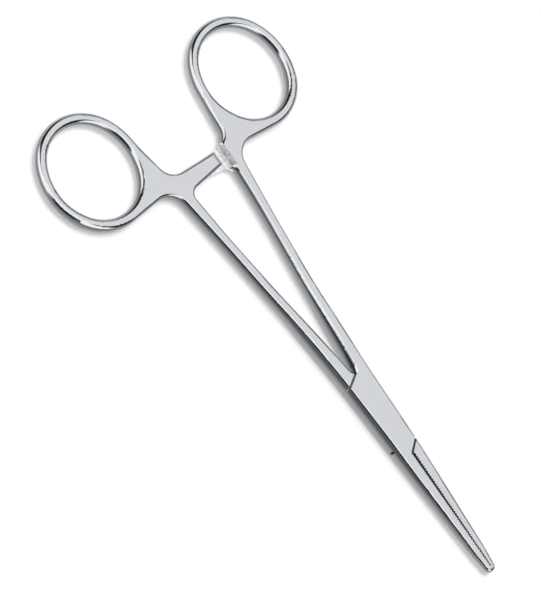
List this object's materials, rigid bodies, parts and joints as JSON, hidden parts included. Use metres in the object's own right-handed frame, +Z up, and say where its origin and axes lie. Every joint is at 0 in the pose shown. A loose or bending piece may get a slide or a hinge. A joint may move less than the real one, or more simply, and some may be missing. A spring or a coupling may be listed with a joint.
{
  "type": "hemostat forceps",
  "caption": "Straight locking haemostatic forceps with finger rings, ratchet bars, a box lock and cross-serrated jaws, in satin stainless steel.",
  "frame": {"origin": "on the pivot axis, at the flat underside of the box lock", "axes": "+X to the jaw tips, +Y to the finger ring of the box half, +Z up out of the face it lies on"},
  "size_m": [0.1422, 0.0752, 0.0048],
  "materials": {
    "forged_steel": "forged stainless steel, satin flats with polished rounded edges",
    "pin_steel": "stainless steel, riveted and ground flush"
  },
  "bodies": {
    "box_side": {"box_half": "forged_steel", "pivot_pin": "pin_steel"},
    "tongue_side": {"tongue_half": "forged_steel"}
  },
  "joints": [
    {"name": "box_lock", "type": "hinge", "parent": "box_side", "child": "tongue_side", "pos_m": [0, 0, 0], "axis": [0, 0, 1], "range_deg": [0, 50]}
  ]
}
